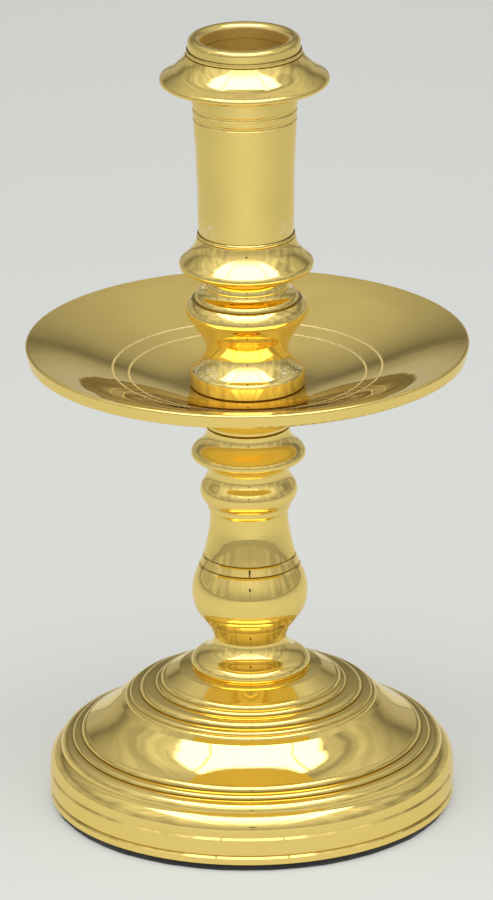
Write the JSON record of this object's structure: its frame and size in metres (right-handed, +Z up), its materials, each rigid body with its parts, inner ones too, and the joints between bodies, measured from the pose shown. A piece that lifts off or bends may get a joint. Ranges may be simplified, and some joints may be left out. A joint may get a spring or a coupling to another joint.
{
  "type": "candlestick with drip pan",
  "caption": "Turned brass candlestick with a wide drip pan at mid height, a ringed round base on felt and an unscrewing socket for a taper candle.",
  "frame": {"origin": "centre of the felt's underside, on the floor", "axes": "+Z up along the turning axis, -Y towards the camera of the picture"},
  "size_m": [0.117, 0.117, 0.2127],
  "materials": {
    "brass": "polished",
    "felt": "fuzzy black felt",
    "fibre": "dark matt fibre",
    "steel": "plain zinc plated"
  },
  "bodies": {
    "stand": {"felt_pad": "felt", "base": "brass", "stem": "brass", "drip_pan": "brass", "tie_rod": "steel", "base_washer": "steel", "base_nut": "steel"},
    "washer": {"pan_washer": "fibre"},
    "socket": {"candle_socket": "brass"}
  },
  "joints": [
    {"name": "socket_rise", "type": "slide", "parent": "stand", "child": "washer", "axis": [0, 0, 1], "range_m": [0, 0.009]},
    {"name": "socket_turn", "type": "hinge", "parent": "washer", "child": "socket", "pos_m": [0, 0, 0.1176], "axis": [0, 0, 1], "range_deg": [0, 3240]}
  ],
  "couplings": [
    {"joint": "socket_turn", "follows": "socket_rise", "rad_per_m": 6283.2}
  ]
}
